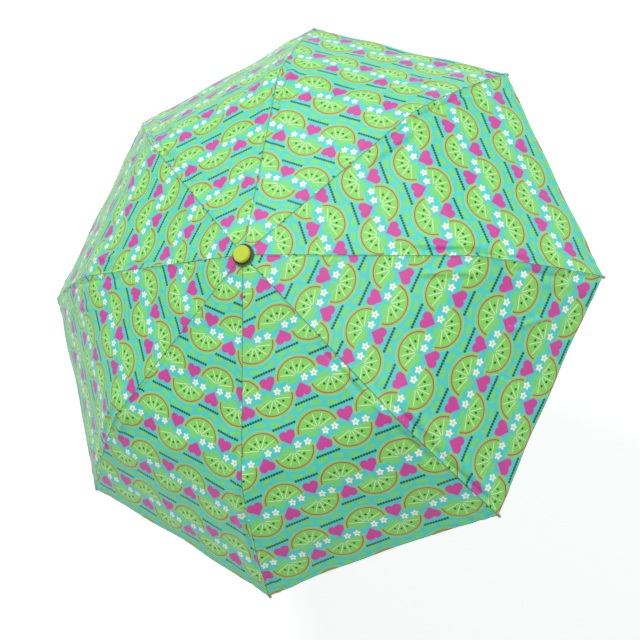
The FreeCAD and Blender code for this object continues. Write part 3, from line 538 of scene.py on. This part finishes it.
def motif(shader, colour, across, along, centre, turn):
    """One half-round citrus slice with daisies and loose leaves, then a row of dots and a heart."""
    x = wrapped(shader, across, centre[0], REPEAT_ACROSS)
    y = shader.times(wrapped(shader, along, centre[1], REPEAT_ALONG), turn)
    side = shader.math("ABSOLUTE", x)

    # leaves strewn in the gaps
    leaves = None
    for place, lean in (((-0.0140, -0.0135), 0.0), ((-0.0150, 0.0256), 0.35), ((0.0060, 0.0272), -0.30)):
        leaf_shape = stroke(shader, x, y, place, lean, 0.0098, 0.0060)
        leaves = leaf_shape if leaves is None else shader.math("MINIMUM", leaves, leaf_shape)
    colour = shader.mix(shader.inside(shader.less(leaves, 0.0004), 0.0010), colour, LEAF)

    # half-round slice: peel round its curve, then the flesh, cut by pale lines from the middle
    middle = -0.0085
    below = shader.less(y, middle)
    round_edge = disc(shader, x, y, (0, middle), 0.0276, (0.90, 1.0))
    slice_shape = shader.math("SMOOTH_MAX", round_edge, shader.times(below, -1.0), 0.002)
    colour = shader.mix(shader.inside(shader.less(slice_shape, 0.0008), 0.0010), colour, LIME_EDGE)
    colour = shader.mix(shader.inside(slice_shape, 0.0008), colour, LIME)
    peel = shader.less(shader.math("ABSOLUTE", shader.add(round_edge, 0.0034)), 0.0010)
    peel = shader.math("MAXIMUM", peel, shader.less(0.0012, below))
    colour = shader.mix(shader.inside(peel, 0.0004), colour, RIND)
    turn_round = shader.math("WRAP", shader.math("ARCTAN2", x, below), math.radians(18), -math.radians(18))
    from_middle = shader.length(x, below)
    line = shader.less(shader.times(shader.math("ABSOLUTE", turn_round), from_middle), 0.00045)
    line = shader.math("MAXIMUM", line, shader.add(round_edge, 0.0066))
    line = shader.math("MAXIMUM", line, shader.less(0.0030, from_middle))
    line = shader.math("MAXIMUM", line, shader.less(0.0010, below))
    colour = shader.mix(shader.times(shader.inside(line, 0.0004), 0.85), colour, WHITE)

    # four dark seeds in the flesh
    seed = shader.math("MINIMUM", disc(shader, side, y, (0.0042, 0.0036), 0.0017),
                       disc(shader, side, y, (0.0117, -0.0005), 0.0017))
    colour = shader.mix(shader.inside(seed, 0.0005), colour, DARK)

    # two daisies in the gap above the slice's flat side
    for flower in ((0.0085, -0.0155), (0.0225, -0.0145)):
        petal_x, petal_y = shader.less(x, flower[0]), shader.less(y, flower[1])
        lobes = shader.math("COSINE", shader.times(shader.math("ARCTAN2", petal_y, petal_x), 5.0))
        reach = shader.length(petal_x, petal_y)
        petals = shader.less(reach, shader.add(shader.times(lobes, 0.0011), 0.0044))
        colour = shader.mix(shader.inside(petals, 0.0005), colour, WHITE)
        colour = shader.mix(shader.inside(shader.less(reach, 0.0015), 0.0005), colour, YOLK)

    # row of dots under the slice
    dot_x = shader.math("WRAP", x, 0.00195, -0.00195)
    dot_y = shader.less(y, 0.0330)
    dots = shader.less(shader.length(dot_x, dot_y), 0.00192)
    dots = shader.math("MAXIMUM", dots, shader.less(side, 0.0175))
    colour = shader.mix(shader.inside(dots, 0.0004), colour, DARK)

    # heart, further along the cloth
    value = shader.times(shader.less(along, centre[1]), turn)
    value = shader.less(value, HEART_ALONG)
    heart_y = shader.math("WRAP", value, REPEAT_ALONG / 2, -REPEAT_ALONG / 2)
    lobe = disc(shader, side, heart_y, (0.0052, -0.0036), 0.0061)
    lean = math.radians(44)
    slope = shader.add(shader.times(side, math.cos(lean)), shader.times(heart_y, math.sin(lean)))
    point = shader.math("MAXIMUM", shader.less(slope, 0.0073), shader.less(-0.0002, heart_y))
    heart = shader.math("SMOOTH_MIN", lobe, point, 0.0016)
    rim = shader.inside(shader.less(heart, 0.0009), 0.0006)
    colour = shader.mix(shader.times(rim, 0.75), colour, PINK_EDGE)
    return shader.mix(shader.inside(heart, 0.0004), colour, PINK)


def cloth_material(name, inside_face):
    """Printed polyester taffeta; its inner face shows the print more faintly."""
    shader = Shader(name)
    across, along, flat = shader.uv("print")
    to_seam, to_hem, _ = shader.uv("seam")
    colour = GROUND
    colour = motif(shader, colour, across, along, (0.0, 0.0), 1.0)
    colour = motif(shader, colour, across, along, (REPEAT_ACROSS / 2, SHIFT_ALONG), -1.0)
    mottle = shader.noise(260, 2.0, flat)
    colour = shader.mix(shader.times(mottle, 0.10), colour, (*linear(30, 110, 96), 1))
    broad = shader.noise(14, 2.0, flat)
    colour = shader.mix(shader.times(broad, 0.10), colour, (1, 1, 1, 1), "SOFT_LIGHT")
    seam = shader.inside(shader.less(to_seam, 0.0006), 0.0004)
    colour = shader.mix(shader.times(seam, 0.62), colour, (*linear(18, 92, 74), 1))
    edge = shader.inside(shader.less(to_hem, 0.0010), 0.0005)
    colour = shader.mix(shader.times(edge, 0.6), colour, (*linear(20, 96, 70), 1))
    stitch_line = shader.less(shader.math("ABSOLUTE", shader.less(to_hem, HEM - 0.001)), 0.00035)
    stitch = shader.less(shader.math("ABSOLUTE", shader.math("WRAP", across, 0.0013, -0.0013)), 0.0008)
    stitch = shader.inside(shader.math("MAXIMUM", stitch_line, stitch), 0.0002)
    colour = shader.mix(shader.times(stitch, 0.8), colour, (*linear(60, 150, 110), 1))
    if inside_face:
        colour = shader.mix(0.45, colour, (*linear(150, 214, 200), 1))
    shader.base(colour)
    warp = shader.math("SINE", shader.times(across, 2 * math.pi / 0.0006))
    weft = shader.math("SINE", shader.times(along, 2 * math.pi / 0.0006))
    weave = shader.add(shader.times(warp, weft), shader.times(shader.noise(900, 2.0, flat), 0.6))
    weave = shader.add(weave, shader.times(shader.noise(45, 3.0, flat), 2.5))
    shader.bump(weave, 0.35, 0.00012)
    return shader.finish(0.42, Specular_IOR_Level=0.45, Sheen_Weight=0.15, Sheen_Roughness=0.4)


# ---------------------------------------------------------------- other materials

def plastic(name, colour, roughness, grain=0.0):
    shader = Shader(name)
    place = shader.place()
    cloud = shader.noise(60, 3.0, place)
    shader.base(shader.mix(shader.times(cloud, 0.18), (*colour, 1), (*[value * 0.7 for value in colour], 1)))
    shader.bump(shader.noise(1400, 3.0, place), 0.12 + grain, 0.00006)
    rough = shader.add(shader.times(shader.noise(90, 4.0, place), 0.14), roughness - 0.07)
    return shader.finish(rough, Specular_IOR_Level=0.5)


def metal(name, colour, roughness, streak):
    """Drawn or pressed metal with fine streaks and a little tarnish."""
    shader = Shader(name)
    place = shader.place()
    stretch = shader.tree.nodes.new("ShaderNodeMapping")
    stretch.inputs["Scale"].default_value = streak
    shader.put(stretch.inputs["Vector"], place)
    streaks = shader.noise(700, 2.0, stretch.outputs[0])
    tarnish = shader.noise(38, 4.0, place)
    dull = tuple(value * 0.62 for value in colour)
    shader.base(shader.mix(shader.times(tarnish, 0.35), (*colour, 1), (*dull, 1)))
    shader.bump(streaks, 0.10, 0.00004)
    rough = shader.add(shader.times(tarnish, 0.18), roughness - 0.05)
    return shader.finish(rough, metallic=1.0)


def rosette_cloth():
    shader = Shader("rosette_cloth")
    place = shader.place()
    split = shader.tree.nodes.new("ShaderNodeSeparateXYZ")
    shader.put(split.inputs[0], place)
    away = shader.length(split.outputs[0], split.outputs[1])
    band = shader.inside(shader.less(away, 0.0139), 0.0006)
    colour = shader.mix(band, (*linear(26, 92, 62), 1), (*linear(118, 22, 44), 1))
    colour = shader.mix(shader.times(shader.noise(500, 3.0, place), 0.4), colour, (*linear(60, 14, 26), 1))
    shader.base(colour)
    shader.bump(shader.noise(1800, 2.0, place), 0.4, 0.0001)
    return shader.finish(0.7, Specular_IOR_Level=0.3, Sheen_Weight=0.2)


MATERIALS = {
    "canopy_outside": cloth_material("canopy_outside", False),
    "canopy_inside": cloth_material("canopy_inside", True),
    "cap": plastic("cap_plastic", linear(184, 208, 50), 0.30),
    "grip": plastic("grip_plastic", linear(170, 206, 50), 0.40, 0.25),
    "plug": plastic("plug_plastic", linear(120, 156, 40), 0.42),
    "dark": plastic("dark_plastic", linear(30, 32, 34), 0.48, 0.15),
    "runner": plastic("runner_plastic", linear(26, 28, 30), 0.34, 0.05),
    "tip": plastic("tip_plastic", linear(168, 142, 142), 0.36),
    "rosette": rosette_cloth(),
    "tube": metal("tube_steel", (0.72, 0.73, 0.75), 0.20, (1, 1, 0.02)),
    "rib": metal("rib_steel", (0.56, 0.57, 0.59), 0.34, (0.3, 0.3, 0.3)),
    "rod": metal("rod_steel", (0.16, 0.16, 0.17), 0.38, (0.3, 0.3, 0.3)),
    "spring": metal("spring_steel", (0.66, 0.66, 0.67), 0.27, (1, 1, 1)),
}


# ---------------------------------------------------------------- canopy

def canopy():
    """Sixteen leaves that meet edge to edge: one over each rib, above and beyond its fold."""
    cloth = (MATERIALS["canopy_outside"], MATERIALS["canopy_inside"])
    for rib in RIBS:
        inner = leaf(f"canopy_inner_{rib}", rib, 0, FOLD_SHARE, 54, cloth)
        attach(inner, f"inner_rib_{rib}")
        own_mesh(inner)
        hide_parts(f"canopy_panel_{rib}")
        outer = leaf(f"canopy_outer_{rib}", rib, FOLD_SHARE, 1, 34, cloth)
        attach(outer, f"outer_rib_{rib}")
        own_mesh(outer)
        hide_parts(f"canopy_panel_{rib}")


canopy()

PAD_REACH = 0.016        # cloth patch over a fold hinge, to each side of it
PAD_HALF = 0.0075
PAD_DROP = 0.0003        # patch below the cloth's inner face


def joint_pad(rib):
    """A patch of cloth sewn under the canopy, over the fold hinge, that bends round it."""
    rows, columns = 25, 9
    share = FOLD_SHARE + np.linspace(-PAD_REACH, PAD_REACH, rows) / LENGTH
    spread = np.linspace(-1, 1, columns)
    points, faces, marks = [], [], []
    before = (rib - 2) % RIB_COUNT + 1
    for index in range(rows):
        ends = 1 - max(0, abs(index - (rows - 1) / 2) - (rows - 1) / 2 + 3) * 0.12
        for place in spread:
            offset = abs(place) * PAD_HALF * ends
            gore, seam = (rib, -1) if place >= 0 else (before, 1)
            side = np.array([seam * (1 - offset / half_width(share[index]))])
            spot = share[index:index + 1]
            drop = normal_at(gore, spot, side)[0] * (CLOTH + PAD_DROP)
            points.append(skin(gore, spot, side)[0] - drop)
            marks.append((place * PAD_HALF, share[index] * LENGTH))
    points = np.array(points)
    points = np.concatenate([points, points - np.array([0, 0, CLOTH])])
    layer = rows * columns
    for row in range(rows - 1):
        for column in range(columns - 1):
            first = row * columns + column
            quad = [first, first + columns, first + columns + 1, first + 1]
            faces.append(quad)
            faces.append([layer + index for index in reversed(quad)])
    border = [column for column in range(columns)] + [row * columns + columns - 1 for row in range(1, rows)]
    border += [(rows - 1) * columns + column for column in range(columns - 2, -1, -1)]
    border += [row * columns for row in range(rows - 2, 0, -1)]
    for here, after in zip(border, border[1:] + border[:1]):
        faces.append([here, after, layer + after, layer + here])
    mesh = bpy.data.meshes.new(f"joint_pad_{rib}")
    mesh.from_pydata(points.tolist(), [], faces)
    for name in ("print", "seam"):
        uv = mesh.uv_layers.new(name=name)
        spots = marks + marks if name == "print" else [(0.05, 0.05)] * (2 * layer)
        uv.data.foreach_set("uv", [value for face in faces for index in face for value in spots[index]])
    mesh.materials.append(MATERIALS["canopy_inside"])
    mesh.polygons.foreach_set("use_smooth", [True] * len(faces))
    tidy = bmesh.new()
    tidy.from_mesh(mesh)
    bmesh.ops.recalc_face_normals(tidy, faces=tidy.faces)
    tidy.to_mesh(mesh)
    tidy.free()
    pad = bpy.data.objects.new(f"joint_pad_{rib}", mesh)
    bpy.context.scene.collection.objects.link(pad)
    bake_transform(pad)


for rib in RIBS:
    joint_pad(rib)


# ---------------------------------------------------------------- the tube catch

def tube_catch():
    """The bent leaf and its button, which the lower tube presses in when the shaft is pushed down."""
    node = frame["nodes"]["tube_catch"]
    mesh = node.data.copy()
    mesh.transform(node.matrix_world)
    mesh.materials.clear()
    mesh.materials.append(MATERIALS["spring"])
    piece = bpy.data.objects.new("tube_catch_leaf", mesh)
    bpy.context.scene.collection.objects.link(piece)
    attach(piece, "tube_catch")
    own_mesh(piece)
    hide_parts("tube_catch")


tube_catch()


# ---------------------------------------------------------------- CAD nodes that stay

NODE_MATERIALS = {
    "handle": "grip",
    "handle_plug": "plug",
    "lower_tube": "tube",
    "upper_tube": "tube",
    "tube_bush": "dark",
    "crown": "dark",
    "crown_ring": "spring",
    "rosette": "rosette",
    "top_cap": "cap",
    "runner": "runner",
    "top_catch": "spring",
}
for rib in RIBS:
    NODE_MATERIALS[f"inner_rib_{rib}"] = "rib"
    NODE_MATERIALS[f"stretcher_{rib}"] = "rib"
    NODE_MATERIALS[f"outer_rib_{rib}"] = "rod"
    NODE_MATERIALS[f"link_{rib}"] = "spring"
    NODE_MATERIALS[f"rib_tip_{rib}"] = "tip"
for name, key in NODE_MATERIALS.items():
    for material_slot in frame["nodes"][name].material_slots:
        material_slot.material = MATERIALS[key]


# ---------------------------------------------------------------- camera, floor and light

APEX = Vector((0, 0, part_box("canopy_panel_1")[1][2]))
TIP_RADIUS = TIP_HIGH[0]
CAMERA_AZIMUTH = math.radians(-121.27)
CAMERA_HEIGHT = math.radians(63.9)
CAMERA_ROLL = math.radians(-57.34)
CAMERA_DISTANCE = 2.437 * TIP_RADIUS
CAMERA_ASIDE = 0.2290 * TIP_RADIUS
CAMERA_UP = -0.1939 * TIP_RADIUS
CAMERA_LENS = 46.05


def camera():
    """The main view; gives its right, top and backward directions, which place the lights."""
    towards = Vector((math.cos(CAMERA_HEIGHT) * math.cos(CAMERA_AZIMUTH),
                      math.cos(CAMERA_HEIGHT) * math.sin(CAMERA_AZIMUTH), math.sin(CAMERA_HEIGHT)))
    level = Vector((0, 0, 1)).cross(towards).normalized()
    upward = towards.cross(level)
    right = level * math.cos(CAMERA_ROLL) + upward * math.sin(CAMERA_ROLL)
    top = upward * math.cos(CAMERA_ROLL) - level * math.sin(CAMERA_ROLL)
    data = bpy.data.cameras.new("camera")
    data.lens = CAMERA_LENS
    data.sensor_width = 36
    data.clip_start = 0.01
    item = bpy.data.objects.new("camera", data)
    bpy.context.scene.collection.objects.link(item)
    place = APEX + towards * CAMERA_DISTANCE + right * CAMERA_ASIDE + top * CAMERA_UP
    turn = Matrix((right, top, towards)).transposed().to_4x4()
    item.matrix_world = Matrix.Translation(place) @ turn
    bpy.context.scene.camera = item
    return right, top, towards


def area_light(name, place, size, power):
    """A round soft light that points at the middle of the canopy."""
    data = bpy.data.lights.new(name, "AREA")
    data.shape = "DISK"
    data.size = size
    data.energy = power
    item = bpy.data.objects.new(name, data)
    bpy.context.scene.collection.objects.link(item)
    item.location = place
    item.rotation_mode = "QUATERNION"
    item.rotation_quaternion = (APEX - place).to_track_quat("-Z", "Y")


FLOOR_LEVEL = -0.75
FLOOR_REACH = 12


def floor():
    """A plain pale floor, well below the umbrella."""
    mesh = bpy.data.meshes.new("floor")
    corners = [(across * FLOOR_REACH, along * FLOOR_REACH, FLOOR_LEVEL)
               for across, along in ((-1, -1), (1, -1), (1, 1), (-1, 1))]
    mesh.from_pydata(corners, [], [(0, 1, 2, 3)])
    item = bpy.data.objects.new("floor", mesh)
    bpy.context.scene.collection.objects.link(item)
    shader = Shader("floor_paint")
    shader.base(shader.mix(shader.times(shader.noise(3, 2.0, shader.place()), 0.03), (0.93, 0.93, 0.93, 1),
                           (0.88, 0.88, 0.89, 1)))
    mesh.materials.append(shader.finish(0.9, Specular_IOR_Level=0.1, Emission_Color=(1, 1, 1, 1),
                                        Emission_Strength=0.48))


right, top, towards = camera()
floor()
area_light("key", APEX - right * 0.9 + top * 1.45 + towards * 1.6, 0.5, 40)
area_light("fill", APEX + right * 1.7 + top * 1.2 + towards * 1.7, 2.2, 14)
world = bpy.data.worlds.new("studio")
world.use_nodes = True
sky = world.node_tree.nodes.new("ShaderNodeTexCoord")
height = world.node_tree.nodes.new("ShaderNodeSeparateXYZ")
shade = world.node_tree.nodes.new("ShaderNodeValToRGB")
shade.color_ramp.elements[0].position = 0.02
shade.color_ramp.elements[0].color = (0.88, 0.88, 0.88, 1)
shade.color_ramp.elements[1].position = 0.55
shade.color_ramp.elements[1].color = (0.38, 0.38, 0.38, 1)
world.node_tree.links.new(sky.outputs["Generated"], height.inputs[0])
world.node_tree.links.new(height.outputs["Z"], shade.inputs[0])
world.node_tree.links.new(shade.outputs[0], world.node_tree.nodes["Background"].inputs["Color"])
bpy.context.scene.world = world
bpy.context.scene.view_settings.view_transform = "Standard"
